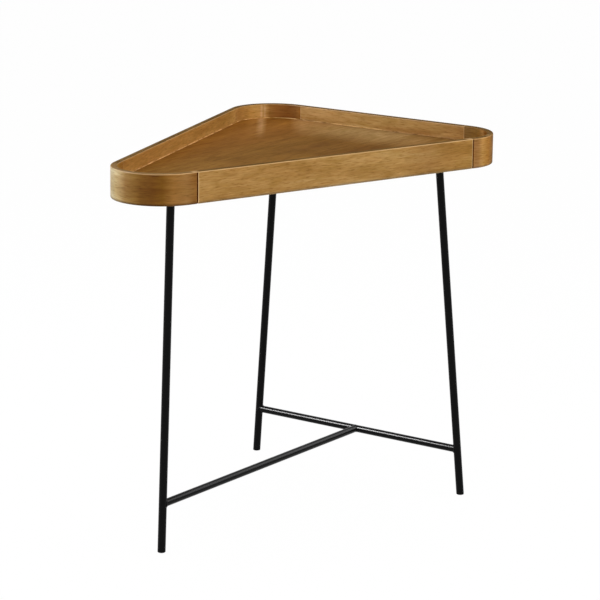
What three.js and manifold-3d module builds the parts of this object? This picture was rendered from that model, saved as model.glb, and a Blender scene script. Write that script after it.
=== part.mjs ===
// Triangle side table: a wooden tray top with bent corners on a welded steel rod base.
// Millimetres, +Z up. The origin is on the floor under the middle of the tray's bounding box.
// +X runs from the tip of the triangle to its back edge, and the legs are named as seen from the tip.

import * as THREE from 'three';
import { mergeVertices } from 'three/addons/utils/BufferGeometryUtils.js';
import Module from 'manifold-3d';

const wasm = await Module();
wasm.setup();

// Tray
const tableHeight = 610; // floor to the top of the rim
const trayLength = 677; // tip to back edge, over the rim
const trayWidth = 497; // side to side, over the rim
const cornerRadius = 76; // outside of every bent corner
const rimHeight = 49;
const rimThickness = 9.5;
const rimEdgeRadius = 2; // rounding of the rim's long edges
const recessDepth = 24.5; // rim top down to the panel
const panelThickness = 9;
const tongueThickness = 5; // tongue round the panel's edge, level with its underside
const grooveDepth = 4; // how far the tongue's groove is cut into the rim
const tipTail = 16; // straight run of the tip corner past its bend
const backTail = 7; // straight run of the back corners past their bends
const seamChamfer = 1; // eased ends that make a V groove at each seam

// Feathers, the loose tongues that are glued across the seams
const featherLength = 20;
const featherHeight = 14;
const featherThickness = 3;

// Legs and stretcher
const legDiameter = 12.7;
const tubeWall = 1.2;
const rodDiameter = 12;
const stretcherHeight = 77.5; // floor to the axis of the rods
const tipLegLean = 24; // how far the tip leg's top stands in from its foot
const backFootOut = 10; // back feet past the corner centres, towards the back edge
const backFootAside = 38.5; // back feet past the corner centres, towards the sides
const backTopIn = 6.4; // back leg tops in from the corner centres, towards the tip
const backTopNarrow = 10; // back leg tops in from the corner centres, towards the middle

// Foot plugs
const plugHeadHeight = 2;
const plugShankLength = 14;

// Leg plates and their screws
const plateDiameter = 64;
const plateThickness = 3;
const screwCircleDiameter = 46;
const screwHoleDiameter = 4.8;
const screwDiameter = 4;
const screwHeadDiameter = 8;
const screwHeadHeight = 2.8;
const screwBite = 7; // length of the screw inside the panel
const screwPointLength = 2;
const screwHeadFlatShare = 0.55; // flat top of the pan head, of its radius
const screwHeadWallShare = 0.4; // straight wall of the pan head, of its height

// Clearances
const fitGap = 0.3; // pieces that slide into or lie in one another
const glueGap = 0.3; // rim pieces end to end
const copeGap = 0.3; // rod ends that are cut to a round neighbour
const overrun = 5; // every cut runs this far past what it cuts

// Counts
const bendSteps = 9; // pairs of flats along each bend
const edgeSteps = 1; // pairs of flats over each rounded edge
const roundSides = 24;
const smallSides = 12;
const screwsPerPlate = 3;

const rimMiddle = tableHeight - rimHeight / 2;
const panelTop = tableHeight - recessDepth;
const panelUnderside = panelTop - panelThickness;
const plateUnderside = panelUnderside - plateThickness;
const innerRadius = cornerRadius - rimThickness;
const midRadius = cornerRadius - rimThickness / 2;
const grooveRadius = innerRadius + grooveDepth;
const grooveHeight = tongueThickness + 2 * fitGap;
const grooveMiddle = panelUnderside + tongueThickness / 2 - rimMiddle; // from the rim's middle height
const featherMiddle = (panelTop + tableHeight) / 2 - rimMiddle; // halfway up the wall over the panel
const backX = trayLength / 2 - cornerRadius;
const backY = trayWidth / 2 - cornerRadius;
const legRadius = legDiameter / 2;
const boreRadius = legRadius - tubeWall;

const finishes = {
    rimWood: { color: 0xa87a45, roughness: 0.42, metalness: 0 },
    panelWood: { color: 0x8a6138, roughness: 0.36, metalness: 0 },
    featherWood: { color: 0xb99a6b, roughness: 0.7, metalness: 0 },
    blackSteel: { color: 0x1c1b1b, roughness: 0.45, metalness: 0.2 },
    zincSteel: { color: 0xa9abad, roughness: 0.35, metalness: 0.9 },
    blackPlastic: { color: 0x161616, roughness: 0.6, metalness: 0 },
};

// The three bent corners in turn, counter-clockwise as seen from above
const corners = [
    { name: 'tip', centre: new THREE.Vector2(-backX, 0), tail: tipTail },
    { name: 'right', centre: new THREE.Vector2(backX, -backY), tail: backTail },
    { name: 'left', centre: new THREE.Vector2(backX, backY), tail: backTail },
];

// The three straight sides, each running from one corner to the next
const sides = ['right', 'back', 'left'].map((name, i) => {
    const start = corners[i];
    const end = corners[(i + 1) % corners.length];
    const run = end.centre.clone().sub(start.centre);
    return { name, start, end, span: run.length(), angle: run.angle() };
});

function turn(from, to) {
    return THREE.MathUtils.euclideanModulo(to - from, 2 * Math.PI);
}

// A side's outward normal stands a quarter turn clockwise from its run
corners.forEach((corner, i) => {
    const before = sides[(i + sides.length - 1) % sides.length].angle - Math.PI / 2;
    const after = sides[i].angle - Math.PI / 2;
    corner.bend = turn(before, after);
    corner.angle = before + corner.bend / 2;
});

function mesh(name, geometry, finish) {
    const piece = new THREE.Mesh(geometry, new THREE.MeshStandardMaterial(finishes[finish]));
    piece.name = name;
    return piece;
}

function solid(geometry) {
    const bare = geometry.clone();
    bare.deleteAttribute('normal');
    bare.deleteAttribute('uv');
    const merged = mergeVertices(bare);
    const vertProperties = new Float32Array(merged.attributes.position.array);
    const triVerts = new Uint32Array(merged.index.array);
    return new wasm.Manifold(new wasm.Mesh({ numProp: 3, vertProperties, triVerts }));
}

function shell(manifold) {
    const { vertProperties, triVerts } = manifold.getMesh();
    const geometry = new THREE.BufferGeometry();
    geometry.setAttribute('position', new THREE.BufferAttribute(new Float32Array(vertProperties), 3));
    geometry.setIndex(new THREE.BufferAttribute(new Uint32Array(triVerts), 1));
    geometry.computeVertexNormals();
    return geometry;
}

function cut(geometry, cutters) {
    let body = solid(geometry);
    for (const cutter of cutters) {
        body = body.subtract(solid(cutter));
    }
    return shell(body);
}

// A cylinder between two points, run on past both
function roundBar(radius, from, to, past) {
    const axis = to.clone().sub(from);
    const bar = new THREE.CylinderGeometry(radius, radius, axis.length() + 2 * past, roundSides);
    const up = THREE.Object3D.DEFAULT_UP;
    bar.applyQuaternion(new THREE.Quaternion().setFromUnitVectors(up, axis.normalize()));
    const middle = from.clone().add(to).divideScalar(2);
    return bar.translate(middle.x, middle.y, middle.z);
}

// A wide level block between two heights, that trims leaning bars flat
function level(low, high) {
    return new THREE.BoxGeometry(trayWidth, trayWidth, high - low).translate(0, 0, (low + high) / 2);
}

// The rim's cross-section: x points out of the tray, y up
function rimSection() {
    const across = rimThickness / 2 - rimEdgeRadius;
    const up = rimHeight / 2 - rimEdgeRadius;
    const shape = new THREE.Shape();
    shape.absarc(across, -up, rimEdgeRadius, -Math.PI / 2, 0);
    shape.absarc(across, up, rimEdgeRadius, 0, Math.PI / 2);
    shape.absarc(-across, up, rimEdgeRadius, Math.PI / 2, Math.PI);
    shape.absarc(-across, -up, rimEdgeRadius, Math.PI, 1.5 * Math.PI);
    return shape.getPoints(edgeSteps);
}

// The rim's section carried along stations, each a plan point, an outward direction and an inset
function carryRim(stations) {
    const section = rimSection();
    const count = section.length;
    const positions = [];
    for (const { place, outward, inset } of stations) {
        const acrossShare = 1 - 2 * inset / rimThickness;
        const upShare = 1 - 2 * inset / rimHeight;
        for (const point of section) {
            const across = point.x * acrossShare;
            positions.push(place.x + outward.x * across, place.y + outward.y * across, point.y * upShare);
        }
    }
    const faces = [];
    for (let s = 0; s + 1 < stations.length; s++) {
        for (let i = 0; i < count; i++) {
            const a = s * count + i;
            const b = s * count + (i + 1) % count;
            faces.push(a, b + count, b, a, a + count, b + count);
        }
    }
    const last = (stations.length - 1) * count;
    for (const [a, b, c] of THREE.ShapeUtils.triangulateShape(section, [])) {
        faces.push(a, b, c);
        faces.push(last + c, last + b, last + a);
    }
    const geometry = new THREE.BufferGeometry();
    geometry.setAttribute('position', new THREE.Float32BufferAttribute(positions, 3));
    geometry.setIndex(faces);
    return geometry;
}

function featherSlot() {
    const slot = 2 * fitGap;
    return new THREE.BoxGeometry(featherLength + slot, featherThickness + slot, featherHeight + slot);
}

// A straight rim board along X, outside face towards -Y, with its panel groove and feather slots
function railGeometry(length) {
    const outward = new THREE.Vector2(0, -1);
    const half = length / 2;
    const full = half - seamChamfer;
    const stations = [[-half, seamChamfer], [-full, 0], [full, 0], [half, seamChamfer]]
        .map(([x, inset]) => ({ place: new THREE.Vector2(x, 0), outward, inset }));
    const groove = new THREE.BoxGeometry(length + 2 * overrun, grooveDepth + overrun, grooveHeight);
    groove.translate(0, (rimThickness - grooveDepth + overrun) / 2, grooveMiddle);
    const slots = [-1, 1].map((end) => featherSlot().translate(end * (half + glueGap / 2), 0, featherMiddle));
    return cut(carryRim(stations), [groove, ...slots]);
}

// The plan of a strip that bends round the origin and runs on straight at both ends
function bentStrip(inside, outside, bend, tail) {
    const centre = new THREE.Vector2();
    const at = (radius, along, angle) => new THREE.Vector2(radius, along).rotateAround(centre, angle);
    const shape = new THREE.Shape();
    const corner = (method, point) => shape[method](point.x, point.y);
    corner('moveTo', at(outside, -tail, -bend / 2));
    corner('lineTo', at(outside, 0, -bend / 2));
    shape.absarc(0, 0, outside, -bend / 2, bend / 2);
    corner('lineTo', at(outside, tail, bend / 2));
    corner('lineTo', at(inside, tail, bend / 2));
    shape.absarc(0, 0, inside, bend / 2, -bend / 2, true);
    corner('lineTo', at(inside, -tail, -bend / 2));
    return shape;
}

// A bent rim board round the origin, its middle facing +X
function cornerGeometry(bend, tail) {
    const run = tail - glueGap / 2;
    const stations = [];
    function addStation(angle, along, inset) {
        const outward = new THREE.Vector2(Math.cos(angle), Math.sin(angle));
        const tangent = new THREE.Vector2(-outward.y, outward.x);
        const place = outward.clone().multiplyScalar(midRadius).addScaledVector(tangent, along);
        stations.push({ place, outward, inset });
    }
    addStation(-bend / 2, -run, seamChamfer);
    addStation(-bend / 2, seamChamfer - run, 0);
    for (let i = -bendSteps; i <= bendSteps; i++) {
        addStation(bend / 2 * i / bendSteps, 0, 0);
    }
    addStation(bend / 2, run - seamChamfer, 0);
    addStation(bend / 2, run, seamChamfer);
    const plan = bentStrip(innerRadius - overrun, grooveRadius, bend, tail + overrun);
    const groove = new THREE.ExtrudeGeometry(plan, {
        depth: grooveHeight, bevelEnabled: false, curveSegments: bendSteps,
    });
    groove.translate(0, 0, grooveMiddle - grooveHeight / 2);
    const slots = [-1, 1].map((end) => {
        const slot = featherSlot().rotateZ(Math.PI / 2).translate(midRadius, end * tail, featherMiddle);
        return slot.rotateZ(end * bend / 2);
    });
    return cut(carryRim(stations), [groove, ...slots]);
}

function screwPlaces() {
    return Array.from({ length: screwsPerPlate }, (_, i) => {
        const angle = (i + 1 / 2) * 2 * Math.PI / screwsPerPlate;
        return new THREE.Vector2(screwCircleDiameter / 2, 0).rotateAround(new THREE.Vector2(), angle);
    });
}

// A level sheet with the tray's outline, its corners of one radius, from zero height up
function traySheet(radius, thickness) {
    const shape = new THREE.Shape();
    for (const { centre, angle, bend } of corners) {
        shape.absarc(centre.x, centre.y, radius, angle - bend / 2, angle + bend / 2);
    }
    return new THREE.ExtrudeGeometry(shape, {
        depth: thickness, bevelEnabled: false, curveSegments: bendSteps,
    });
}

// The panel from its underside up, its tongue in the rim's groove, with pilot holes for the plates' screws
function panelGeometry() {
    const tongue = solid(traySheet(grooveRadius - fitGap, tongueThickness));
    const panel = shell(solid(traySheet(innerRadius - fitGap, panelThickness)).add(tongue));
    const radius = screwDiameter / 2 + fitGap;
    const depth = screwBite + fitGap;
    const pilots = [];
    for (const { top, turned } of legs) {
        for (const place of screwPlaces()) {
            const at = place.rotateAround(new THREE.Vector2(), turned).add(top);
            const pilot = new THREE.CylinderGeometry(radius, radius, depth + overrun, smallSides);
            pilots.push(pilot.rotateX(Math.PI / 2).translate(at.x, at.y, (depth - overrun) / 2));
        }
    }
    return cut(panel, pilots);
}

// Each leg's foot and top in plan, its lean, and the way that it leans
function leg(name, foot, top) {
    const leaning = top.clone().sub(foot);
    return { name, foot, top, lean: leaning.length(), turned: leaning.angle() };
}

const legs = [
    leg('tip', corners[0].centre, corners[0].centre.clone().add(new THREE.Vector2(tipLegLean, 0))),
    ...[-1, 1].map((side) => leg(
        side < 0 ? 'right' : 'left',
        new THREE.Vector2(backX + backFootOut, side * (backY + backFootAside)),
        new THREE.Vector2(backX - backTopIn, side * (backY - backTopNarrow)),
    )),
];

function atHeight({ foot, top }, height) {
    const plan = foot.clone().lerp(top, height / plateUnderside);
    return new THREE.Vector3(plan.x, plan.y, height);
}

// A leg tube that leans towards +X, measured down from its top on the plate
function legGeometry(lean) {
    const top = new THREE.Vector3();
    const foot = new THREE.Vector3(-lean, 0, -plateUnderside);
    const bore = solid(roundBar(boreRadius, foot, top, 2 * overrun));
    const tube = solid(roundBar(legRadius, foot, top, overrun)).subtract(bore);
    return shell(tube.intersect(solid(level(plugHeadHeight - plateUnderside, 0))));
}

// A foot plug on the floor, its shank up the leaning tube
function plugGeometry(lean) {
    const foot = new THREE.Vector3();
    const top = new THREE.Vector3(lean, 0, plateUnderside);
    const height = plugHeadHeight + plugShankLength;
    const shankTop = top.clone().multiplyScalar(height / plateUnderside);
    const head = solid(roundBar(legRadius, foot, shankTop, overrun));
    const shank = solid(roundBar(boreRadius - fitGap, foot, shankTop, 0));
    const shankRoom = solid(level(plugHeadHeight / 2, height + overrun));
    return shell(head.intersect(solid(level(0, plugHeadHeight))).add(shank.intersect(shankRoom)));
}

// A round leg plate, measured down from the panel's underside
function plateGeometry() {
    const shape = new THREE.Shape();
    shape.absarc(0, 0, plateDiameter / 2, 0, 2 * Math.PI);
    for (const { x, y } of screwPlaces()) {
        shape.holes.push(new THREE.Path().absarc(x, y, screwHoleDiameter / 2, 0, 2 * Math.PI, true));
    }
    const plate = new THREE.ExtrudeGeometry(shape, {
        depth: plateThickness, bevelEnabled: false, curveSegments: roundSides / 2,
    });
    return plate.translate(0, 0, -plateThickness);
}

// A pan head screw pointing up, its head seated at the origin
function screwGeometry() {
    const headRadius = screwHeadDiameter / 2;
    const shankRadius = screwDiameter / 2;
    const length = plateThickness + screwBite;
    const profile = [
        [0, -screwHeadHeight],
        [headRadius * screwHeadFlatShare, -screwHeadHeight],
        [headRadius, -screwHeadHeight * screwHeadWallShare],
        [headRadius, 0],
        [shankRadius, 0],
        [shankRadius, length - screwPointLength],
        [0, length],
    ];
    const points = profile.map(([radius, height]) => new THREE.Vector2(radius, height));
    return new THREE.LatheGeometry(points, smallSides).rotateX(Math.PI / 2);
}

// A leg's cutter for a rod that meets it, seen from a place on the rod
function legCutter(which, place) {
    const from = atHeight(which, 0).sub(place);
    const to = atHeight(which, plateUnderside).sub(place);
    return roundBar(legRadius + copeGap, from, to, 0);
}

function crossbar() {
    const [, right, left] = legs;
    const end = atHeight(left, stretcherHeight);
    const place = new THREE.Vector3(end.x, 0, end.z);
    const reach = new THREE.Vector3(0, end.y, 0);
    const bar = roundBar(rodDiameter / 2, reach.clone().negate(), reach, 0);
    const piece = mesh('crossbar', cut(bar, [legCutter(right, place), legCutter(left, place)]), 'blackSteel');
    piece.position.copy(place);
    return piece;
}

function centreRod() {
    const [tip, , left] = legs;
    const place = atHeight(tip, stretcherHeight);
    const reach = new THREE.Vector3(atHeight(left, stretcherHeight).x - place.x, 0, 0);
    const side = new THREE.Vector3(0, rodDiameter, 0);
    const barRadius = rodDiameter / 2 + copeGap;
    const barCutter = roundBar(barRadius, reach.clone().sub(side), reach.clone().add(side), 0);
    const rod = roundBar(rodDiameter / 2, new THREE.Vector3(), reach, 0);
    const piece = mesh('centre_rod', cut(rod, [legCutter(tip, place), barCutter]), 'blackSteel');
    piece.position.copy(place);
    return piece;
}

function addRim(table) {
    for (const { name, start, end, span, angle } of sides) {
        const length = span - start.tail - end.tail - glueGap;
        const along = new THREE.Vector2(1, 0).rotateAround(new THREE.Vector2(), angle);
        const outward = new THREE.Vector2(along.y, -along.x);
        const middle = start.centre.clone().addScaledVector(along, (span + start.tail - end.tail) / 2);
        middle.addScaledVector(outward, midRadius);
        const board = new THREE.Group();
        board.position.set(middle.x, middle.y, rimMiddle);
        board.rotation.z = angle;
        board.add(mesh(`rail_${name}`, railGeometry(length), 'rimWood'));
        for (const [seam, side] of [[start.name, -1], [end.name, 1]]) {
            const shape = new THREE.BoxGeometry(featherLength, featherThickness, featherHeight);
            const feather = mesh(`feather_${name}_${seam}`, shape, 'featherWood');
            feather.position.set(side * (length + glueGap) / 2, 0, featherMiddle);
            board.add(feather);
        }
        table.add(board);
    }
    for (const { name, centre, angle, bend, tail } of corners) {
        const corner = mesh(`corner_${name}`, cornerGeometry(bend, tail), 'rimWood');
        corner.position.set(centre.x, centre.y, rimMiddle);
        corner.rotation.z = angle;
        table.add(corner);
    }
}

function addPanel(table) {
    const panel = mesh('tray_panel', panelGeometry(), 'panelWood');
    panel.position.z = panelUnderside;
    table.add(panel);
}

function addLeg(table, { name, foot, top, lean, turned }) {
    const standing = new THREE.Group();
    standing.position.set(foot.x, foot.y, 0);
    standing.rotation.z = turned;
    standing.add(mesh(`foot_plug_${name}`, plugGeometry(lean), 'blackPlastic'));
    table.add(standing);

    const hung = new THREE.Group();
    hung.position.set(top.x, top.y, panelUnderside);
    hung.rotation.z = turned;
    const tube = mesh(`leg_${name}`, legGeometry(lean), 'blackSteel');
    tube.position.z = -plateThickness;
    hung.add(tube, mesh(`leg_plate_${name}`, plateGeometry(), 'blackSteel'));
    screwPlaces().forEach((place, i) => {
        const screw = mesh(`plate_screw_${name}_${i + 1}`, screwGeometry(), 'zincSteel');
        screw.position.set(place.x, place.y, -plateThickness);
        hung.add(screw);
    });
    table.add(hung);
}

const table = new THREE.Group();
addRim(table);
addPanel(table);
for (const each of legs) {
    addLeg(table, each);
}
table.add(crossbar(), centreRod());

export default table;
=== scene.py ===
import math

import bmesh
import bpy
import numpy as np
from mathutils import Matrix, Vector


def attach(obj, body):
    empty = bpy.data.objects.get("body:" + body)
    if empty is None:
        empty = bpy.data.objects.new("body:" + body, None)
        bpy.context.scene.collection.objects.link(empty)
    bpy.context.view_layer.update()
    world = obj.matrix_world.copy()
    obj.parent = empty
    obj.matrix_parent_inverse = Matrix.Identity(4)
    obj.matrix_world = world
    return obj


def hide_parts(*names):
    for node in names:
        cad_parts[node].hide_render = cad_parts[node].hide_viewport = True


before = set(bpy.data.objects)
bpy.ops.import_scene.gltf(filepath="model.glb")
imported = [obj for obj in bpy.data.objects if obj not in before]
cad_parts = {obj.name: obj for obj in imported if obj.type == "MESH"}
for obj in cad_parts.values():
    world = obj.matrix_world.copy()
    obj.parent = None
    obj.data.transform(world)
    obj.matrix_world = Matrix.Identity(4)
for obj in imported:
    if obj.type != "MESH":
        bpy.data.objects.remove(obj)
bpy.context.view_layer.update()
print("frame loaded")

mm = 0.001


# Working tools

meshing = {"mergeWithin": 0.0005, "sharpAngle": 35}  # mm and degrees


# sRGB hex to linear: the usual curve, a straight foot and a power of 2.4 above it
def hexColour(text):
    share = np.array([int(text[i:i + 2], 16) for i in (1, 3, 5)]) / 255
    linear = np.where(share <= 0.04045, share / 12.92, ((share + 0.055) / 1.055) ** 2.4)
    return (*linear.tolist(), 1)


# One node: settings are its own properties, input values or colour stops, links are the sockets that feed it
def addNode(tree, kind, settings=None, links=None):
    node = tree.nodes.new(kind)
    for name, value in (settings or {}).items():
        if name == "stops":
            stops = node.color_ramp.elements
            while len(stops) < len(value):
                stops.new(1)
            for stop, (place, colour) in zip(stops, value):
                linear = hexColour(colour) if isinstance(colour, str) else (*np.broadcast_to(colour, 3), 1)
                stop.position = place
                stop.color = linear
        elif isinstance(name, str) and name in node.bl_rna.properties:
            setattr(node, name, value)
        else:
            node.inputs[name].default_value = value
    for name, source in (links or {}).items():
        tree.links.new(source, node.inputs[name])
    return node


# An empty material and its node tree
def newMaterial(name):
    material = bpy.data.materials.new(name)
    material.use_nodes = True
    material.node_tree.nodes.clear()
    return material, material.node_tree


# A grid of points whose columns close into rings. Rows close as well on a hoop, otherwise both ends are
# capped. By grid point, uv is its place in the wood in metres, the pale tone's share how much of it is mixed
# in there, for stain rubbed through and for painted highlights, and finish which of the materials the face
# that starts there takes. The caps take capFinish
def makePiece(name, rings, materials, stands, uv=None, wear=None, hoop=False, finish=None, capFinish=0):
    rows, cols = rings.shape[:2]
    row, col = np.meshgrid(np.arange(rows - (not hoop)), np.arange(cols), indexing="ij")
    cornerRows = np.stack([row, row, row + 1, row + 1], -1).reshape(-1, 4)
    cornerCols = np.stack([col, col + 1, col + 1, col], -1).reshape(-1, 4)
    faces = ((cornerRows % rows) * cols + cornerCols % cols).tolist()
    places = np.stack([cornerRows, cornerCols], -1).reshape(-1, 2)
    caps = [] if hoop else [0, rows - 1]
    for cap in caps:
        faces.append((cap * cols + np.arange(cols)).tolist())
        places = np.vstack([places, np.stack([np.full(cols, cap), np.arange(cols)], -1)])
    mesh = bpy.data.meshes.new(name)
    mesh.from_pydata(rings.reshape(-1, 3).tolist(), [], faces)
    if uv is not None:
        layer = mesh.uv_layers.new(name="grainMap")
        layer.uv.foreach_set("vector", uv[places[:, 0], places[:, 1]].astype(np.float32).ravel())
    if wear is not None:
        wearAndGleamAmount = mesh.attributes.new("wear", "FLOAT", "POINT")
        wearAndGleamAmount.data.foreach_set("value", wear.astype(np.float32).ravel())
    if finish is not None:
        faceFinish = np.broadcast_to(finish, (rows, cols))[cornerRows[:, 0], cornerCols[:, 0]]
        faceFinish = np.append(faceFinish, [capFinish] * len(caps))
        mesh.polygons.foreach_set("material_index", faceFinish.astype(np.int32))
    for material in materials:
        mesh.materials.append(material)
    work = bmesh.new()
    work.from_mesh(mesh)
    bmesh.ops.remove_doubles(work, verts=work.verts, dist=meshing["mergeWithin"] * mm)
    bmesh.ops.recalc_face_normals(work, faces=work.faces)
    work.to_mesh(mesh)
    work.free()
    mesh.shade_smooth()
    mesh.set_sharp_from_angle(angle=math.radians(meshing["sharpAngle"]))
    piece = bpy.data.objects.new(name, mesh)
    bpy.context.scene.collection.objects.link(piece)
    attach(piece, "root")
    if stands:
        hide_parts(*stands)
    return piece


# Camera, fitted to the photograph's edges: degrees and mm, and how far it sees in metres

camera = {"yaw": -54.693, "pitch": 13.327, "roll": -0.667, "lens": 154.563, "distance": 4355.933,
          "target": (218.856, 83.282, 300.0), "seesTo": 100}


# It looks along yaw from +Y and pitch downwards, is rolled about that line, and stands back from its target
def addCamera(values):
    yaw, pitch, roll = (math.radians(values[k]) for k in ("yaw", "pitch", "roll"))
    forward = Vector((-math.sin(yaw) * math.cos(pitch), math.cos(yaw) * math.cos(pitch), -math.sin(pitch)))
    right = Vector((math.cos(yaw), math.sin(yaw), 0))
    down = forward.cross(right)
    turnedRight = math.cos(roll) * right + math.sin(roll) * down
    turnedDown = math.cos(roll) * down - math.sin(roll) * right
    data = bpy.data.cameras.new("photoView")
    data.lens = values["lens"]
    data.clip_end = values["seesTo"]
    view = bpy.data.objects.new("photoView", data)
    place = Vector(values["target"]) * mm - forward * values["distance"] * mm
    turned = Matrix((turnedRight, -turnedDown, -forward)).transposed()
    view.matrix_world = Matrix.Translation(place) @ turned.to_4x4()
    bpy.context.scene.collection.objects.link(view)
    bpy.context.scene.camera = view


addCamera(camera)
print("camera placed")


# Materials

# Directions that patches of tone are measured along. On a board, X runs along it and Y round its section. On
# the panel and its bead they are the table's own, and the panel's painted reflection of the left corner's
# highlight runs slanting
alongX, alongY = (1, 0, 0), (0, 1, 0)
alongPaintedReflection, acrossPaintedReflection = (0.82, 0.58, 0), (0.58, -0.82, 0)


# A share from 0 to 1 at each place: products of ramps between distances in mm along directions
def placeShare(tree, coords, limits):
    share = None
    for direction, low, high in limits:
        along = addNode(tree, "ShaderNodeVectorMath", {"operation": "DOT_PRODUCT", 1: direction}, {0: coords})
        part = addNode(tree, "ShaderNodeMapRange",
                       {"From Min": low * mm, "From Max": high * mm}, {"Value": along.outputs["Value"]})
        if share:
            part = addNode(tree, "ShaderNodeMath", {"operation": "MULTIPLY"}, {0: share, 1: part.outputs[0]})
        share = part.outputs[0]
    return share


# A ramp for each patch: the plain tone outside it, its own within
def patchRamps(tree, coords, patches):
    return [(placeShare(tree, coords, limits), [(0, 1.0), (1, tone)]) for tone, limits in patches]


# Colour ramps, each led by its own share, multiplied together
def multipliedTones(tree, ramps):
    colour = None
    for share, stops in ramps:
        tone = addNode(tree, "ShaderNodeValToRGB", {"stops": stops}, {0: share}).outputs[0]
        if colour:
            tone = addNode(tree, "ShaderNodeMix",
                           {"data_type": "RGBA", "blend_type": "MULTIPLY", "Factor": 1},
                           {6: colour, 7: tone}).outputs[2]
        colour = tone
    return colour


# Wood veneer, sliced, stained and lacquered: fine dark pores in short dashes along the grain, soft
# streaks and a slow drift from light to dark
def veneer(name, look):
    material, tree = newMaterial(name)
    coords = addNode(tree, "ShaderNodeTexCoord").outputs[look["coords"]]
    layers = {}
    for layer, (longSize, wideSize, detail, distortion) in look["layers"].items():
        # sizes in mm along and across the grain become noise cells per metre, alike all through the sheet
        scale = (1 / (longSize * mm), 1 / (wideSize * mm), 0)
        place = addNode(tree, "ShaderNodeMapping", {"Scale": scale, "Location": [look["offset"]] * 3},
                        {"Vector": coords})
        layers[layer] = addNode(tree, "ShaderNodeTexNoise",
                                {"Scale": 1, "Detail": detail, "Roughness": look["noiseRoughness"],
                                 "Distortion": distortion}, {"Vector": place.outputs[0]}).outputs[0]
    ramps = [(layers["drift"], look["figure"])]
    ramps += [(layers[layer], stops) for layer, stops in look["tones"].items()]
    places = addNode(tree, "ShaderNodeSeparateXYZ", {}, {0: coords})
    for axis, low, high, stops in look["shades"]:  # slow changes of tone along one axis, places in mm
        share = addNode(tree, "ShaderNodeMapRange",
                        {"From Min": low * mm, "From Max": high * mm}, {"Value": places.outputs[axis]})
        ramps.append((share.outputs[0], [((place - low) / (high - low), shade) for place, shade in stops]))
    colour = multipliedTones(tree, ramps + patchRamps(tree, coords, look["patches"]))
    if look["wornAndGleam"]:  # stain rubbed through to bare wood and painted highlights, more in some places than in others
        wear = addNode(tree, "ShaderNodeAttribute", {"attribute_name": "wear"}).outputs["Fac"]
        fromBand = {"From Min": look["wornAndGleamFrom"], "From Max": look["wornAndGleamTo"], "To Min": look["wornAndGleamLeast"]}
        patchy = addNode(tree, "ShaderNodeMapRange", fromBand, {"Value": layers["band"]})
        wearAndGleamAmount = addNode(tree, "ShaderNodeMath", {"operation": "MULTIPLY"}, {0: wear, 1: patchy.outputs[0]})
        colour = addNode(tree, "ShaderNodeMix", {"data_type": "RGBA", 7: hexColour(look["wornAndGleam"])},
                         {"Factor": wearAndGleamAmount.outputs[0], 6: colour}).outputs[2]
    pores = addNode(tree, "ShaderNodeMapRange",
                    {"From Min": look["poreFrom"], "From Max": look["poreTo"]}, {"Value": layers["pore"]})
    rough = addNode(tree, "ShaderNodeMapRange",
                    {"To Min": look["roughness"][0], "To Max": look["roughness"][1]},
                    {"Value": layers["streak"]})
    bump = addNode(tree, "ShaderNodeBump",
                   {"invert": True, "Strength": look["bump"], "Distance": look["poreDepth"] * mm},
                   {"Height": pores.outputs[0]})
    shader = addNode(tree, "ShaderNodeBsdfPrincipled",
                     {"IOR": look["ior"], "Specular IOR Level": look["specular"]},
                     {"Base Color": colour, "Roughness": rough.outputs[0], "Normal": bump.outputs[0]})
    addNode(tree, "ShaderNodeOutputMaterial", {}, {"Surface": shader.outputs[0]})
    return material


# The rim's veneer under satin lacquer, its grain along each board. Pale lines on its arrises, eased ends and
# cut top are painted highlights, drawn in the colour of bare wood, with some stain really rubbed through
# beside the joints. Each board's underside is darker, and its lower arris greyer and bluer than its face: a
# painted reflection of the white floor
rimLook = {
    "coords": "UV", "offset": 0,
    "layers": {  # mm along, mm across, detail, distortion
        "drift": (170, 26, 3, 0.6),
        "streak": (46, 3.4, 4, 0.3),
        "band": (46, 16, 3, 0.8),
        "pore": (14, 1.8, 2, 0.2),  # real pores are 0.2 mm wide, drawn coarser so that they show
    },
    "noiseRoughness": 0.55,
    "figure": [(0.30, "#b38b4b"), (0.52, "#c29d5c"), (0.72, "#cfae6f")],
    "tones": {
        "streak": [(0.36, (0.86, 0.80, 0.72)), (0.50, (0.93, 0.91, 0.87)), (0.64, 1.0)],
        "band": [(0.32, "#e8dcc2"), (0.52, "#f6ece0"), (0.70, "#fff4ea")],
        "pore": [(0.32, 1.05), (0.44, 0.94), (0.56, 0.90), (0.68, (0.68, 0.62, 0.54))],
    },
    # painted reflection of the white floor: a greyer, bluer tone on the lower arris from 3.2 to 6 mm round;
    # the underside darker
    "shades": [("Y", 0, 114, [(0, "#c8c0b8"), (2.5, "#c8c0b8"), (3.2, (0.72, 0.84, 1.25)),
                              (6, (0.72, 0.84, 1.2)), (8.5, 1.0)])],
    "patches": [],
    "wornAndGleam": "#d4ae7c", "wornAndGleamFrom": 0.3, "wornAndGleamTo": 0.6, "wornAndGleamLeast": 0.7,
    "poreFrom": 0.56, "poreTo": 0.72, "poreDepth": 0.05, "bump": 0.35,
    "roughness": (0.36, 0.46), "specular": 0.07, "ior": 1.5,
}
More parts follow.
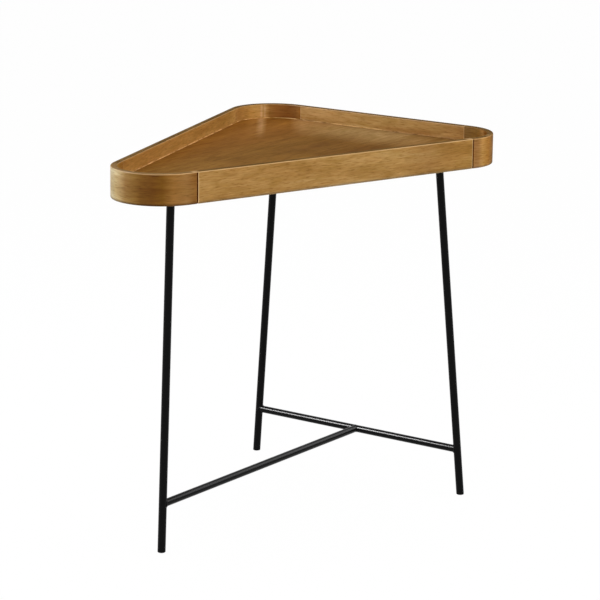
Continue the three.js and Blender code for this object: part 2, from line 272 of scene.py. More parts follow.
# How each board took the stain: red, green and blue shares of the plain tone, by place along it in mm. Some
# stops are painted light, not stain: the tip corner's pale bluish stops from 52 to 78 mm are a painted
# reflection, and the left corner's two pale stripes at 69 and 75 mm are painted highlights. The tip's corner
# is the glossiest, and the right corner's lacquer is rubbed dull. The outer arris and the cut top carry a
# pale tone by place along the board, and the inner arris the same all along: painted highlights where these
# edges catch the light, with stain rubbed through beside the joints. "patches" are darker places on the face
boards = {
    "railRight": {
        "specular": 0.05, "innerWornAndGleam": 0.15, "wornAndGleam": [(0, 0.9)],
        "topWornAndGleam": [(517, 0), (521, 0.35), (528, 0.35)],
        "tones": [(0, (0.90, 0.88, 0.97)), (300, (0.90, 0.91, 1.03)), (380, (0.90, 0.91, 1.02)),
                  (440, (0.77, 0.73, 0.80)), (500, (0.86, 0.83, 0.82))],
    },
    "railBack": {
        "specular": 0.05, "innerWornAndGleam": 0.2,
        "tones": [(0, (0.74, 0.67, 0.66)), (165, (0.90, 0.97, 1.12)), (331, (0.90, 0.89, 1.05))],
        "patches": [((0.80, 0.68, 0.56), [(alongX, 40, 75), (alongX, 190, 150), (alongY, 74, 81)])],
    },
    "railLeft": {
        "specular": 0.05, "innerWornAndGleam": 0.35,
        "tones": [(0, (1.13, 1.08, 1.0)), (250, (0.98, 0.82, 0.60)), (370, (1.16, 1.03, 0.92)),
                  (480, (1.14, 1.0, 0.84))],
    },
    "cornerTip": {
        "specular": 0.07, "innerWornAndGleam": 0.45, "wornAndGleam": [(50, 0), (97, 0.2), (141, 0.75), (206, 0.85)],
        "topWornAndGleam": [(20, 0), (32, 0.17), (140, 0.2), (201, 0.12), (204, 0.55), (206, 0.55), (210, 0.1)],
        "tones": [(0, (0.85, 0.66, 0.35)), (12, (0.88, 0.70, 0.38)), (30, (1.02, 1.05, 0.75)),
                  # painted reflection: the pale bluish stops from 52 to 78 mm stand in for the sheen along
                  # the tip's left end
                  (42, (0.62, 0.52, 0.34)), (52, (0.88, 1.22, 2.55)), (60, (0.83, 1.20, 2.45)),
                  (78, (0.81, 1.05, 1.65)), (98, (0.50, 0.49, 0.46)), (112, (0.42, 0.39, 0.28)),
                  (124, (0.33, 0.26, 0.125)), (141, (0.31, 0.22, 0.095)), (155, (0.39, 0.305, 0.13)),
                  (170, (0.66, 0.565, 0.50)), (190, (0.73, 0.67, 0.74)), (206, (0.59, 0.47, 0.35))],
        "patches": [((0.62, 0.58, 0.5), [(alongX, 26, 34), (alongX, 43, 37), (alongY, 56, 50)]),
                    ((0.70, 0.60, 0.42), [(alongY, 8.5, 6)])],
    },
    "cornerRight": {
        "specular": 0.01, "innerWornAndGleam": 0.1, "wornAndGleam": [(0, 0.7), (40, 0.5), (62, 0)],
        "topWornAndGleam": [(30, 0), (40, 0.15), (60, 0)],
        "tones": [(6, (0.73, 0.64, 0.78)), (12, (0.82, 0.75, 0.92)), (20, (1.11, 1.08, 1.20)),
                  (30, (1.00, 0.90, 0.80)), (38, (0.93, 0.76, 0.57)), (47, (0.66, 0.56, 0.43)),
                  (60, (0.53, 0.465, 0.335)), (85, (0.34, 0.23, 0.11)), (95, (0.38, 0.26, 0.16)),
                  (103, (0.60, 0.52, 0.52)), (116, (0.42, 0.36, 0.26)), (130, (0.39, 0.345, 0.27)),
                  (143, (0.43, 0.40, 0.41))],
    },
    "cornerLeft": {
        "specular": 0.05, "innerWornAndGleam": 0.35,
        "tones": [(2, (0.55, 0.40, 0.19)), (10, (0.43, 0.29, 0.13)), (26, (0.44, 0.275, 0.125)),
                  (48, (0.58, 0.41, 0.29)), (60, (0.68, 0.55, 0.45)), (66, (1.0, 0.95, 1.05)),
                  # painted highlights: the two pale stripes at 69 and 75 mm
                  (69, (1.3, 1.38, 2.2)), (72, (1.02, 0.98, 1.1)), (75, (1.38, 1.46, 2.4)),
                  (79, (1.2, 1.15, 1.25)), (86, (1.12, 1.08, 1.05)), (100, (1.02, 0.93, 0.78)),
                  (130, (0.95, 0.80, 0.68))],
    },
}
cellsApart = 20  # from board to board, in noise cells, so that no two show the same stretch of figure
# The cut edges drink more stain and less lacquer: darker and nearly matt
cutLook = {
    **rimLook,
    "figure": [(0.30, "#604b2c"), (0.52, "#6c5632"), (0.72, "#79613c")],
    "shades": [],
    "roughness": (0.60, 0.70), "specular": 0.005,
}
# The panel's veneer is one wide sheet with a darker stain and long veins. Its semi-gloss lacquer shows the
# room as broad pale bands, which are drawn as patches here, so its own reflection is kept low
panelLook = {
    **rimLook,
    "coords": "Object",
    "layers": {
        "drift": (420, 60, 3, 0.8),
        "streak": (130, 5, 3, 0.5),
        "band": (70, 30, 3, 0.8),
        "pore": (24, 2.6, 2, 0.3),  # coarser than real ones, as on the rim
        "vein": (150, 6, 2, 0.4),
    },
    "figure": [(0.30, "#8a6a38"), (0.52, "#987844"), (0.72, "#a4854f")],
    "tones": {**rimLook["tones"], "vein": [(0.58, 1.0), (0.66, (0.80, 0.76, 0.68))]},
    "shades": [("Y", -250, 250, [(-120, (0.59, 0.49, 0.29)), (-20, (0.61, 0.53, 0.34)),
                                 (40, (0.60, 0.52, 0.32)), (110, (0.65, 0.50, 0.285)),
                                 (150, (0.74, 0.56, 0.33)), (200, (0.74, 0.55, 0.32))])],
    "patches": [
        # a painted reflection: a broad pale band along the back
        ((1.66, 2.14, 4.9), [(alongX, 190, 283), (acrossPaintedReflection, 38, 57), (acrossPaintedReflection, 340, 200)]),
        # painted reflection of the left corner's highlight: one pale streak running out of the corner, with a
        # softer one beside it
        ((1.66, 2.16, 4.8), [(alongPaintedReflection, 160, 300), (acrossPaintedReflection, -20, -10), (acrossPaintedReflection, -1, -9)]),
        ((1.20, 1.29, 1.65), [(alongPaintedReflection, 160, 280), (acrossPaintedReflection, -40, -27), (acrossPaintedReflection, -6, -14)]),
        # a darker band of figure across the middle, and a lighter one near the tip
        ((0.78, 0.74, 0.68), [(alongX, 30, 80), (alongX, 240, 180), (alongY, 12, -10)]),
        ((1.18, 1.22, 1.40), [(alongX, -60, -90), (alongY, 95, 75)]),
    ],
    "wornAndGleam": None,
    "roughness": (0.60, 0.70), "specular": 0.01,
}
# Bare backing veneer under the panel: unstained and unlacquered, greyer and rougher
backerLook = {
    **panelLook,
    "figure": [(0.30, "#8a6740"), (0.52, "#9c794f"), (0.72, "#ab8a60")],
    "shades": [], "patches": [],
    "roughness": (0.65, 0.75), "specular": 0.3,
}
boardVeneers = {}
for n, (board, own) in enumerate(boards.items()):
    boardShades = rimLook["shades"] + [("X", own["tones"][0][0], own["tones"][-1][0], own["tones"])]
    boardVeneers[board] = veneer(f"stainedVeneer{board[0].upper()}{board[1:]}",
                                 {**rimLook, "offset": cellsApart * n, "shades": boardShades,
                                  "specular": own["specular"], "patches": own.get("patches", [])})
cutVeneer = veneer("cutEdgeStainedMatt", cutLook)
panelVeneer = veneer("panelVeneerSemiGloss", panelLook)
backerVeneer = veneer("backerVeneerBare", backerLook)
featherWood = veneer("featherPlywoodBare", backerLook)  # plywood faced with the same bare veneer


# A film that has run and set, of stain or lacquer: its tone wanders with a noise, and patches change it
def filmFinish(name, look):
    material, tree = newMaterial(name)
    coords = addNode(tree, "ShaderNodeTexCoord").outputs["Object"]
    noise = addNode(tree, "ShaderNodeTexNoise", {"Scale": 1 / (look["size"] * mm), "Detail": look["detail"]},
                    {"Vector": coords})
    ramps = [(noise.outputs[0], look["tones"])] + patchRamps(tree, coords, look["patches"])
    shader = addNode(tree, "ShaderNodeBsdfPrincipled",
                     {"Roughness": look["roughness"], "Specular IOR Level": look["specular"]},
                     {"Base Color": multipliedTones(tree, ramps)})
    addNode(tree, "ShaderNodeOutputMaterial", {}, {"Surface": shader.outputs[0]})
    return material


# Stain caught in the open joints between boards, with painted shade for the shadow deep in the slots: matt,
# dark red brown, a little uneven
seamShadow = filmFinish("seamStainAndShade", {
    "size": 4, "detail": 2, "tones": [(0.35, "#4a1e00"), (0.65, "#6a3004")], "patches": [],
    "roughness": 0.8, "specular": 0.01,
})
# Lacquer run up in the corner where the panel meets the wall: a thin amber bead, smooth, its pale tone a
# painted highlight along the cove, with faint beads of thickness that make its bright line come and go
alongBack = (alongX, 280, 322)
beadAmberAndHighlight = filmFinish("lacquerBeadAmberAndHighlight", {
    "size": 14, "detail": 3, "tones": [(0.38, "#97682f"), (0.60, "#cf9c60")],
    # the painted highlight is dimmer along the back, and nearly gone in its right half and for a stretch near
    # its left end
    "patches": [((0.80, 0.86, 0.84), [alongBack]),
                ((0.62, 0.54, 0.46), [alongBack, (alongY, 10, -50)]),
                ((0.80, 0.80, 0.80), [alongBack, (alongY, 90, 115), (alongY, 172, 155)])],
    "roughness": 0.5, "specular": 0.03,
})

skin = {  # sizes and depth in mm
    "peelSize": 2.2, "peelDetail": 2, "peelDepth": 0.03, "bump": 0.05,
    "mottleSize": 14, "mottleDetail": 3, "roughnessSpread": 0.05,
    "ior": 1.5,
}


# A smooth black skin: even, with a faint orange peel and a gloss that wanders a little
def blackSkin(name, colour, roughness, specular):
    material, tree = newMaterial(name)
    coords = addNode(tree, "ShaderNodeTexCoord").outputs["Object"]
    peel = addNode(tree, "ShaderNodeTexNoise",
                   {"Scale": 1 / (skin["peelSize"] * mm), "Detail": skin["peelDetail"]}, {"Vector": coords})
    mottle = addNode(tree, "ShaderNodeTexNoise",
                     {"Scale": 1 / (skin["mottleSize"] * mm), "Detail": skin["mottleDetail"]},
                     {"Vector": coords})
    spread = skin["roughnessSpread"]
    rough = addNode(tree, "ShaderNodeMapRange",
                    {"To Min": roughness - spread, "To Max": roughness + spread},
                    {"Value": mottle.outputs[0]})
    bump = addNode(tree, "ShaderNodeBump", {"Strength": skin["bump"], "Distance": skin["peelDepth"] * mm},
                   {"Height": peel.outputs[0]})
    shader = addNode(tree, "ShaderNodeBsdfPrincipled",
                     {"Base Color": hexColour(colour), "IOR": skin["ior"], "Specular IOR Level": specular},
                     {"Roughness": rough.outputs[0], "Normal": bump.outputs[0]})
    addNode(tree, "ShaderNodeOutputMaterial", {}, {"Surface": shader.outputs[0]})
    return material


# Mild steel tube, phosphated and powder coated satin black: narrow soft highlights along the round
blackSteel = blackSkin("powderCoatedSteelBlack", "#090909", 0.20, 0.06)
# Polyethylene, injection moulded and matt: it takes no highlight under the legs
blackPlastic = blackSkin("mouldedPolyethyleneBlack", "#0a0a0a", 0.55, 0.06)

zinc = {"colour": "#b9bbbd", "cloudSize": 3, "cloudDetail": 3, "roughness": (0.28, 0.42)}


# Steel screws, bright zinc plated: a pale metal whose gloss clouds over every few mm
def zincPlate(name):
    material, tree = newMaterial(name)
    coords = addNode(tree, "ShaderNodeTexCoord").outputs["Object"]
    clouds = addNode(tree, "ShaderNodeTexNoise",
                     {"Scale": 1 / (zinc["cloudSize"] * mm), "Detail": zinc["cloudDetail"]},
                     {"Vector": coords})
    rough = addNode(tree, "ShaderNodeMapRange",
                    {"To Min": zinc["roughness"][0], "To Max": zinc["roughness"][1]},
                    {"Value": clouds.outputs[0]})
    shader = addNode(tree, "ShaderNodeBsdfPrincipled",
                     {"Base Color": hexColour(zinc["colour"]), "Metallic": 1},
                     {"Roughness": rough.outputs[0]})
    addNode(tree, "ShaderNodeOutputMaterial", {}, {"Surface": shader.outputs[0]})
    return material


zincSteel = zincPlate("zincPlatedSteel")
print("materials made")


# Tray layout, in mm: three corner centres, one radius, straight sides between

tray = {"length": 677, "width": 497, "cornerRadius": 76, "top": 610, "recess": 24.5}
rim = {
    "height": 49, "thickness": 9.5, "edgeRadius": 2, "edgePoints": 7,
    "tipTail": 16, "backTail": 7,  # straight runs of the corners past their bends
    "gap": 0.1,  # between boards
    "rowSpacing": 4, "leastRows": 12,
    "ease": 0.6, "easeRows": 6,  # the quarter round at each end
    "easePast": 1.1,  # from a straight board's quarter round to its next row
    "slotRun": 2.2, "slotDepth": 3.2,  # beside the joint, on a bent board's outside
    # distances round the section from the middle of its bottom, and across the outer arris the shares of its
    # pale tone, a painted highlight
    "outerArris": 51, "topStart": 52.3, "topEnd": 61.4, "innerEnd": 62.4,
    "wearAndGleamAcross": (50.9, 51.4, 51.93, 52.4), "wearAndGleamShare": (0, 1, 0.7, 0),
    "endWornAndGleam": 0.9, "endWornAndGleamInside": 0.4,  # pale tone round a straight board's eased ends, outside and inside: a painted highlight
}
cornerNames = ["tip", "right", "left"]
sideNames = ["right", "back", "left"]
backX = tray["length"] / 2 - tray["cornerRadius"]
backY = tray["width"] / 2 - tray["cornerRadius"]
centres = np.array([[-backX, 0], [backX, -backY], [backX, backY]])
tails = np.array([rim["tipTail"], rim["backTail"], rim["backTail"]])
runs = np.roll(centres, -1, 0) - centres
spans = np.hypot(*runs.T)
sideAngles = np.arctan2(runs[:, 1], runs[:, 0])  # the way each side runs
normalAngles = sideAngles - math.pi / 2  # the way each side faces out
bends = (normalAngles - np.roll(normalAngles, 1)) % (2 * math.pi)
midRadius = tray["cornerRadius"] - rim["thickness"] / 2


# The rim's section: x out of the tray, y up. Four quarter rounds joined by flats, from the middle of the
# bottom round the outside, over the top and down the inside, with the distance gone round
def rimSection():
    halfWide, halfHigh, radius = rim["thickness"] / 2, rim["height"] / 2, rim["edgeRadius"]
    turned = np.linspace(0, math.pi / 2, rim["edgePoints"])
    corners = [(1, -1, -math.pi / 2), (1, 1, 0), (-1, 1, math.pi / 2), (-1, -1, math.pi)]
    points = [np.array([[0, -halfHigh]])]
    for sideX, sideY, start in corners:
        middle = [sideX * (halfWide - radius), sideY * (halfHigh - radius)]
        points.append(middle + radius * np.stack([np.cos(start + turned), np.sin(start + turned)], -1))
    section = np.vstack(points)
    steps = np.hypot(*(np.roll(section, -1, 0) - section).T)
    return section, np.concatenate([[0], np.cumsum(steps)])


# A board's end, row by row from the joint inwards: how far along each row lies, how far its section has
# shrunk all round, and how far its outside is cut back. It starts with a quarter round. On a bent board the
# outside is cut back there as a narrow slot, and comes out again over a second quarter round
def endRows(bent):
    turned = np.linspace(0, math.pi / 2, rim["easeRows"])
    roundRun, roundIn = rim["ease"] * (1 - np.cos(turned)), rim["ease"] * (1 - np.sin(turned))
    if bent:
        endRun = np.concatenate([roundRun, [rim["slotRun"]], rim["slotRun"] + roundRun])
        endInset = np.concatenate([roundIn, np.zeros(len(turned) + 1)])
        endCut = np.concatenate([np.full(len(turned) + 1, rim["slotDepth"]), roundIn])
    else:
        endRun, endInset = np.append(roundRun, rim["ease"] + rim["easePast"]), np.append(roundIn, 0)
        endCut = 0 * endInset
    return endRun, endInset, endCut


# How much pale tone lies at each point of a board, for painted highlights and for stain rubbed through: on
# the outer arris and the cut top by place along it, on the inner arris alike all along, and most on the eased
# ends of a straight board. The greatest counts
def boardWearAndGleam(own, along, around, eased):
    untouched = [(0, 0)]
    arris = np.interp(along, *np.array(own.get("wornAndGleam", untouched)).T)[:, None]
    top = np.interp(along, *np.array(own.get("topWornAndGleam", untouched)).T)[:, None]
    onArris = np.interp(around, rim["wearAndGleamAcross"], rim["wearAndGleamShare"])
    onInnerArris = (around > rim["topEnd"]) & (around < rim["innerEnd"])
    onTop = (around >= rim["topStart"]) & (around < rim["topEnd"])
    onEnds = np.where(around < rim["topStart"], rim["endWornAndGleam"], rim["endWornAndGleamInside"])
    return np.maximum.reduce([onArris * arris + onInnerArris * own["innerWornAndGleam"], onTop * top,
                              onEnds * eased[:, None]])


# A rim board: the section carried along a path that runs straight, turns round its centre and runs straight
# again, each point moved outwards and up from the path by its place in the section. It is veneered all round,
# but its top is a cut edge, and its slots and end faces are dark with stain and painted shade
def rimBoard(name, centre, startAngle, bend, before, after, stands):
    arc = bend * midRadius
    total = before + arc + after
    endRun, endInset, endCut = endRows(bend > 0)
    rows = max(rim["leastRows"], int(total / rim["rowSpacing"]))
    middle = np.linspace(endRun[-1], total - endRun[-1], rows)[1:-1]
    along = np.concatenate([endRun, middle, total - endRun[::-1]])
    inset = np.concatenate([endInset, 0 * middle, endInset[::-1]])
    cutBack = np.concatenate([endCut, 0 * middle, endCut[::-1]])
    past = along - before  # distance past the start of the bend
    onArc = np.clip(past, 0, arc)
    angle = startAngle + onArc / midRadius
    outward = np.stack([np.cos(angle), np.sin(angle)], -1)
    tangent = np.stack([-np.sin(angle), np.cos(angle)], -1)
    place = centre + midRadius * outward + (past - onArc)[:, None] * tangent
    section, roundAndBack = rimSection()
    around = roundAndBack[:-1]
    outside = around < rim["outerArris"]
    across = section[None, :, 0] * (1 - 2 * inset / rim["thickness"])[:, None]
    across = np.minimum(across, rim["thickness"] / 2 - cutBack[:, None] * outside)
    up = section[None, :, 1] * (1 - 2 * inset / rim["height"])[:, None]
    rings = np.empty((*across.shape, 3))
    rings[..., :2] = place[:, None] + across[..., None] * outward[:, None]
    rings[..., 2] = tray["top"] - rim["height"] / 2 + up
    uv = np.stack(np.meshgrid(along, roundAndBack, indexing="ij"), -1) * mm
    row = np.arange(len(along))
    eased = (np.minimum(row, row[::-1]) < rim["easeRows"]) & (bend == 0)
    inSlot = (np.minimum(row, row[::-1] - 1) <= rim["easeRows"]) & (bend > 0)
    onTop = (around >= rim["topStart"]) & (around < rim["topEnd"])
    return makePiece(name, rings * mm, [boardVeneers[name], cutVeneer, seamShadow], stands, uv,
                     wear=boardWearAndGleam(boards[name], along, around, eased),
                     finish=np.maximum(1 * onTop, 2 * inSlot[:, None] * outside), capFinish=2)


halfGap = rim["gap"] / 2
for i, corner in enumerate(cornerNames):
    tail = tails[i] - halfGap
    rimBoard(f"corner{corner.title()}", centres[i], normalAngles[i] - bends[i], bends[i], tail, tail,
             [f"corner_{corner}"])
for i, side in enumerate(sideNames):
    start = tails[i] + halfGap
    length = spans[i] - start - tails[(i + 1) % 3] - halfGap
    place = centres[i] + start * (runs[i] / spans[i])
    rimBoard(f"rail{side.title()}", place, normalAngles[i], 0, 0, length, [f"rail_{side}"])
print("rim boards made")

panel = {
    "thickness": 9, "wallGap": 0.05,
    "cove": 1.3, "coveRows": 6,
    "topShares": (0, 0.35, 0.7, 0.95), "underShares": (1, 0.95, 0.5, 0),  # of the way from middle to wall
    "arcPoints": 28, "sidePoints": 24,
}


# The tray's outline at a distance from the corner centres: three arcs and the straight sides between them
def trayOutline(radius):
    parts = []
    for i in range(3):
        angle = normalAngles[i] - bends[i] + bends[i] * np.linspace(0, 1, panel["arcPoints"])
        parts.append(centres[i] + radius * np.stack([np.cos(angle), np.sin(angle)], -1))
        facing = np.array([math.cos(normalAngles[i]), math.sin(normalAngles[i])])
        share = np.linspace(0, 1, panel["sidePoints"] + 2)[1:-1, None]
        parts.append(centres[i] + radius * facing + share * runs[i])
    return np.vstack(parts)


# The panel: from a pole in the middle of its face out to the wall, where lacquer stands up in a small
# cove, then down the side and back under to a second pole. Each row is the outline shrunk towards the middle
def trayPanel():
    top = tray["top"] - tray["recess"]
    under = top - panel["thickness"]
    wall = tray["cornerRadius"] - rim["thickness"] - panel["wallGap"]
    cove = panel["cove"]
    turned = np.linspace(0, math.pi / 2, panel["coveRows"])
    rows = [(share, wall - cove, top) for share in panel["topShares"]]
    rows += [(1, wall - cove + cove * math.sin(a), top + cove * (1 - math.cos(a))) for a in turned]
    rows += [(share, wall, under) for share in panel["underShares"]]
    middle = centres.mean(0)
    rings = []
    for share, radius, height in rows:
        plan = middle + share * (trayOutline(radius) - middle)
        rings.append(np.column_stack([plan, np.full(len(plan), height)]))
    finish = [0] * len(panel["topShares"]) + [2] * len(turned) + [1] * len(panel["underShares"])
    return makePiece("trayPanel", np.array(rings) * mm, [panelVeneer, backerVeneer, beadAmberAndHighlight],
                     ["tray_panel"], finish=np.array(finish)[:, None])


trayPanel()
print("panel made")


# Legs and stretcher, in mm

base = {
    "legRadius": 6.35, "rodRadius": 6, "stretcherHeight": 77.5, "sides": 48,
    "tipLean": 24, "topIn": 6.4, "topNarrow": 10,  # the legs' tops, inwards from the corner centres
    "footOut": 10, "footAside": 38.5,  # the back feet, outwards from them
    "tubeEase": 0.25, "tubeRows": 14, "firstRow": 6, "lastRow": 4,  # from above the floor to below the plate
    "rodRows": 16, "bite": 0.3,  # how far a rod's end runs into what it is welded to
}
plate = {"thickness": 3, "radius": 32, "edge": 0.6, "edgeRows": 4}
plug = {"height": 2, "radii": [0, 3.0, 3.2, 4.5, 5.2, 5.75, 6.15, 6.35, 6.35, 6.15, 6.15],
        "heights": [0.35, 0.35, 0, 0, 0.12, 0.38, 0.85, 1.4, 1.75, 1.9, 2.2]}
weld = {
    "leg": 1.3, "bar": 0.7, "plate": 1.8, "sides": 12,  # bead radii, by what is welded to
    "rodRipples": 15, "plateRipples": 17, "rippleShare": 0.10, "swells": 3, "swellShare": 0.08,
}
screw = {
    "count": 3, "circle": 23, "turnRate": 1.7,  # in each plate, and how differently they were left turned
    "headRadius": 4, "headHeight": 2.8,
    "domeRadii": [*np.linspace(0, 3.4, 18), 3.7, 3.9, 4.0, 4.0], "domeDrop": 0.45, "domePower": 4,
    "crossWidth": 0.55, "crossReach": 2.3, "crossDepth": 1.3, "crossSlope": 0.25, "crossEndSlope": 0.5,
}
plateUnderside = tray["top"] - tray["recess"] - panel["thickness"] - plate["thickness"]
feet = np.array([[-backX, 0, 0], [backX + base["footOut"], -backY - base["footAside"], 0],
                 [backX + base["footOut"], backY + base["footAside"], 0]])
tops = np.array([[-backX + base["tipLean"], 0, plateUnderside],
                 [backX - base["topIn"], -backY + base["topNarrow"], plateUnderside],
                 [backX - base["topIn"], backY - base["topNarrow"], plateUnderside]])
axes = (tops - feet) / np.linalg.norm(tops - feet, axis=1)[:, None]
roundAngles = np.linspace(0, 2 * math.pi, base["sides"], endpoint=False)
towardsBack, towardsLeft = np.array([1.0, 0, 0]), np.array([0, 1.0, 0])
upright = np.array([0, 0, 1.0])


# The circle round an axis: the cosine and sine of the angle along two directions square to it
def circleRound(axis):
    first = np.cross(axis, upright if abs(axis[2]) < 0.9 else towardsBack)
    first = first / np.linalg.norm(first)
    second = np.cross(axis, first)
    return np.cos(roundAngles)[:, None] * first + np.sin(roundAngles)[:, None] * second


# Level rings of a leaning tube: each circle point slides along the axis until it has the ring's height
def leaningRings(foot, axis, radii, heights):
    out = circleRound(axis) * np.array(radii)[:, None, None]
    slide = (np.array(heights)[:, None] - foot[2] - out[..., 2]) / axis[2]
    return foot + out + slide[..., None] * axis


# Where a rod's surface meets a round bar: the first root of the quadratic for its distance from the axis
def cope(start, direction, barPoint, barAxis, barRadius):
    out = circleRound(direction) * base["rodRadius"]
    away = start + out - barPoint
    away = away - (away @ barAxis)[:, None] * barAxis
    going = direction - (direction @ barAxis) * barAxis
    a = going @ going
    b = 2 * away @ going
    c = (away ** 2).sum(1) - barRadius ** 2
    slide = (-b - np.sqrt(np.clip(b * b - 4 * a * c, 0, None))) / (2 * a)
    return start + out + slide[:, None] * direction


# A weld bead: a small circle carried round a closed curve. Its radius ripples by two sines, one for the pools
# that froze and one for slow swells, and the seed shifts both
def weldBead(name, curve, outward, back, radius, ripples, seed):
    turned = np.linspace(0, 2 * math.pi, weld["sides"], endpoint=False)
    ripple = weld["rippleShare"] * np.sin(ripples * roundAngles + seed)
    swell = weld["swellShare"] * np.sin(weld["swells"] * roundAngles + 2 * seed)
    spread = np.cos(turned)[None, :, None] * outward[:, None] + np.sin(turned)[None, :, None] * back
    rings = curve[:, None] + spread * (radius * (1 + ripple + swell))[:, None, None]
    return makePiece(name, rings * mm, [blackSteel], [], hoop=True)


# A leg plate: a disc about the leg's top, its profile a quarter round at each edge
def legPlate(name, centre):
    edge, inner = plate["edge"], plate["radius"] - plate["edge"]
    turned = np.linspace(0, math.pi / 2, plate["edgeRows"])
    low, high = plateUnderside, plateUnderside + plate["thickness"]
    radii = [0, *(inner + edge * np.sin(turned)), *(inner + edge * np.cos(turned)), 0]
    heights = [low, *(low + edge - edge * np.cos(turned)), *(high - edge + edge * np.sin(turned)), high]
    circle = np.column_stack([np.cos(roundAngles), np.sin(roundAngles), np.zeros(base["sides"])])
    rings = np.array(radii)[:, None, None] * circle + np.array([*centre[:2], 0])
    rings[..., 2] = np.array(heights)[:, None]
    return makePiece(f"legPlate{name}", rings * mm, [blackSteel],
                     [f"leg_plate_{name.lower()}"])


# A pan head: height falls with a power of the radius as a flattened dome, less a cross that is pressed into
# its middle
def screwHead(name, place, turnedBy, stands):
    radii = np.array(screw["domeRadii"])
    dome = screw["headHeight"] * (1 - (radii / screw["headRadius"]) ** screw["domePower"] * screw["domeDrop"])
    dome[-1] = 0  # the last row lies on the plate
    x = radii[:, None] * np.cos(roundAngles)
    y = radii[:, None] * np.sin(roundAngles)
    arm = np.minimum(np.abs(x), np.abs(y))
    reach = np.maximum(np.abs(x), np.abs(y))
    inside = np.clip((screw["crossWidth"] - arm) / screw["crossSlope"], 0, 1)
    inside = inside * np.clip((screw["crossReach"] - reach) / screw["crossEndSlope"], 0, 1)
    height = dome[:, None] - inside * screw["crossDepth"]
    c, s = math.cos(turnedBy), math.sin(turnedBy)
    rings = np.stack([place[0] + c * x - s * y, place[1] + s * x + c * y, place[2] - height], -1)
    return makePiece(name, rings * mm, [zincSteel], stands)


tubeRadii = [base["legRadius"] - base["tubeEase"]] + [base["legRadius"]] * (base["tubeRows"] + 2)
tubeHeights = [plug["height"], plug["height"] + base["tubeEase"],
               *np.linspace(base["firstRow"], plateUnderside - base["lastRow"], base["tubeRows"]),
               plateUnderside]
for i, corner in enumerate(cornerNames):
    title = corner.title()
    foot, axis, top = feet[i], axes[i], tops[i]
    makePiece(f"leg{title}", leaningRings(foot, axis, tubeRadii, tubeHeights) * mm, [blackSteel],
              [f"leg_{corner}"])
    makePiece(f"footPlug{title}", leaningRings(foot, axis, plug["radii"], plug["heights"]) * mm,
              [blackPlastic], [f"foot_plug_{corner}"])
    legPlate(title, top)
    curve = leaningRings(foot, axis, [base["legRadius"]], [plateUnderside])[0]
    weldBead(f"plateWeld{title}", curve, circleRound(axis), upright, weld["plate"], weld["plateRipples"], i)
    lean = math.atan2(top[1] - foot[1], top[0] - foot[0])
    for n in range(screw["count"]):
        angle = lean + (n + 0.5) * 2 * math.pi / screw["count"]
        place = top + screw["circle"] * np.array([math.cos(angle), math.sin(angle), 0])
        screwHead(f"plateScrew{title}{n + 1}", place, angle * screw["turnRate"] + n,
                  [f"plate_screw_{corner}_{n + 1}"])
print("legs, plates, plugs and screws made")


# For each point of the other direction's circle, the nearest of this one's: the largest dot product
def matchRing(one, other):
    return (circleRound(other) @ circleRound(one).T).argmax(1)


# A stretcher rod: straight lines between two end rings, each following the round bar that it is welded to
def stretcherRod(name, start, direction, startBar, endBar, stands):
    first = cope(start, -direction, *startBar[:2], startBar[2] - base["bite"])
    last = cope(start, direction, *endBar[:2], endBar[2] - base["bite"])
    out = circleRound(direction) * base["rodRadius"]
    reach = (first[matchRing(-direction, direction)] - start) @ direction
    firstMatched = start + out + reach[:, None] * direction
    share = np.linspace(0, 1, base["rodRows"])[:, None, None]
    rings = firstMatched + share * (last - firstMatched)
    makePiece(name, rings * mm, [blackSteel], stands)


# The weld at a rod's end, along the line where the rod meets the bar
def endWeld(name, start, direction, bar, radius, seed):
    curve = cope(start, direction, *bar)
    return weldBead(name, curve, circleRound(direction), direction, radius, weld["rodRipples"], seed)


height = base["stretcherHeight"]
atHeight = feet + (tops - feet) * (height / plateUnderside)
tipBar, rightBar, leftBar = [(atHeight[i], axes[i], base["legRadius"]) for i in range(3)]
crossPoint = np.array([atHeight[1, 0], 0, height])
crossBar = (crossPoint, towardsLeft, base["rodRadius"])
midRod = np.array([0, 0, height])
stretcherRod("crossbarRod", crossPoint, towardsLeft, rightBar, leftBar, ["crossbar"])
stretcherRod("centreRod", midRod, towardsBack, tipBar, crossBar, ["centre_rod"])
endWeld("weldCrossRight", crossPoint, -towardsLeft, rightBar, weld["leg"], 0.4)
endWeld("weldCrossLeft", crossPoint, towardsLeft, leftBar, weld["leg"], 1.4)
endWeld("weldCentreTip", midRod, -towardsBack, tipBar, weld["leg"], 2.3)
endWeld("weldCentreCross", midRod, towardsBack, crossBar, weld["bar"], 3.1)
print("stretcher made")

for name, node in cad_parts.items():
    if name.startswith("feather_"):
        node.data.materials.clear()
        node.data.materials.append(featherWood)
print("feathers given their plywood")


# Stage and light

stage = {"floorHalf": 30, "paper": "#f4f4f2", "floorWhite": 0.985, "world": 0.35,
         "lamps": {  # azimuth and height in degrees, distance, width and height in metres, watts
             "topBank": (10, 75, 1.9, 1.6, 1.6, 20),
             "leftPanel": (118, 12, 2.8, 1.6, 1.6, 46),
             "rightPanel": (300, 28, 3.2, 1.4, 1.4, 32),
             "frontFill": (190, 32, 4, 2.2, 2.2, 85),
         },
         "glints": {  # the same for lamps that only make highlights on the steel
             "leftStrip": (134.5, 40, 3, 0.6, 1.2, 345),
             "rightBank": (-27, 31, 6, 3.6, 3.2, 185),
         },
         "lampsAim": (0, 0, 0.4), "glintsAim": (0.2, 0, 0.08)}  # metres


# 1 for a ray from the camera, off a glossy surface or through a clear one, which sees plain white
def whiteShare(tree):
    path = addNode(tree, "ShaderNodeLightPath")
    seen = addNode(tree, "ShaderNodeMath", {"operation": "MAXIMUM"},
                   {0: path.outputs["Is Camera Ray"], 1: path.outputs["Is Glossy Ray"]})
    return addNode(tree, "ShaderNodeMath", {"operation": "MAXIMUM"},
                   {0: seen.outputs[0], 1: path.outputs["Is Transmission Ray"]}).outputs[0]


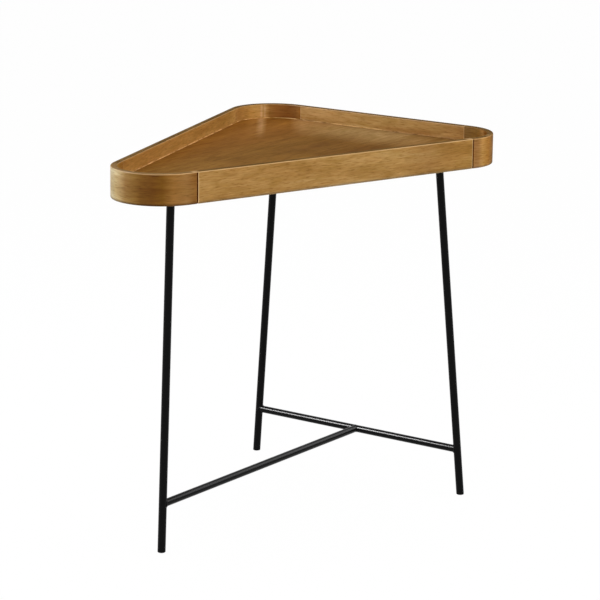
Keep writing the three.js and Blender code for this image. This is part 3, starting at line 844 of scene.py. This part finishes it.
# A square of white paper that still takes the table's shadow, and is clear from below
def addFloor():
    material, tree = newMaterial("paperFloor")
    share = addNode(tree, "ShaderNodeMath", {"operation": "MULTIPLY", 1: stage["floorWhite"]},
                    {0: whiteShare(tree)})
    paper = addNode(tree, "ShaderNodeBsdfDiffuse", {"Color": hexColour(stage["paper"])})
    white = addNode(tree, "ShaderNodeEmission", {"Color": (1, 1, 1, 1), "Strength": 1})
    mixed = addNode(tree, "ShaderNodeMixShader", {},
                    {0: share.outputs[0], 1: paper.outputs[0], 2: white.outputs[0]})
    clear = addNode(tree, "ShaderNodeBsdfTransparent")
    side = addNode(tree, "ShaderNodeNewGeometry")
    oneWay = addNode(tree, "ShaderNodeMixShader", {},
                     {0: side.outputs["Backfacing"], 1: mixed.outputs[0], 2: clear.outputs[0]})
    addNode(tree, "ShaderNodeOutputMaterial", {}, {"Surface": oneWay.outputs[0]})
    half = stage["floorHalf"]
    square = [(-half, -half, 0), (half, -half, 0), (half, half, 0), (-half, half, 0)]
    mesh = bpy.data.meshes.new("floor")
    mesh.from_pydata(square, [], [(0, 1, 2, 3)])
    mesh.materials.append(material)
    floor = bpy.data.objects.new("floor", mesh)
    bpy.context.scene.collection.objects.link(floor)


# A white world, dimmer for the light that it casts than for the rays that see it
def addWorld():
    world = bpy.data.worlds.new("studio")
    world.use_nodes = True
    tree = world.node_tree
    tree.nodes.clear()
    strength = addNode(tree, "ShaderNodeMapRange", {"To Min": stage["world"], "To Max": 1},
                       {"Value": whiteShare(tree)})
    sky = addNode(tree, "ShaderNodeBackground", {"Color": (1, 1, 1, 1)}, {"Strength": strength.outputs[0]})
    addNode(tree, "ShaderNodeOutputWorld", {}, {"Surface": sky.outputs[0]})
    bpy.context.scene.world = world


# Area lamps that stand round an aim by azimuth, height and distance, and face it
def addLamps(lamps, aim, lightsAll):
    for name, (azimuth, elevation, distance, width, height, watts) in lamps.items():
        a, e = math.radians(azimuth), math.radians(elevation)
        away = Vector((math.cos(a) * math.cos(e), math.sin(a) * math.cos(e), math.sin(e)))
        data = bpy.data.lights.new(name, "AREA")
        data.shape = "RECTANGLE"
        data.size = width
        data.size_y = height
        data.energy = watts
        lamp = bpy.data.objects.new(name, data)
        lamp.location = Vector(aim) + away * distance
        lamp.rotation_euler = away.to_track_quat("Z", "Y").to_euler()
        lamp.visible_diffuse = lightsAll
        bpy.context.scene.collection.objects.link(lamp)


addFloor()
addWorld()
addLamps(stage["lamps"], stage["lampsAim"], True)
addLamps(stage["glints"], stage["glintsAim"], False)
bpy.context.scene.view_settings.view_transform = "Standard"
print("stage and lamps set")
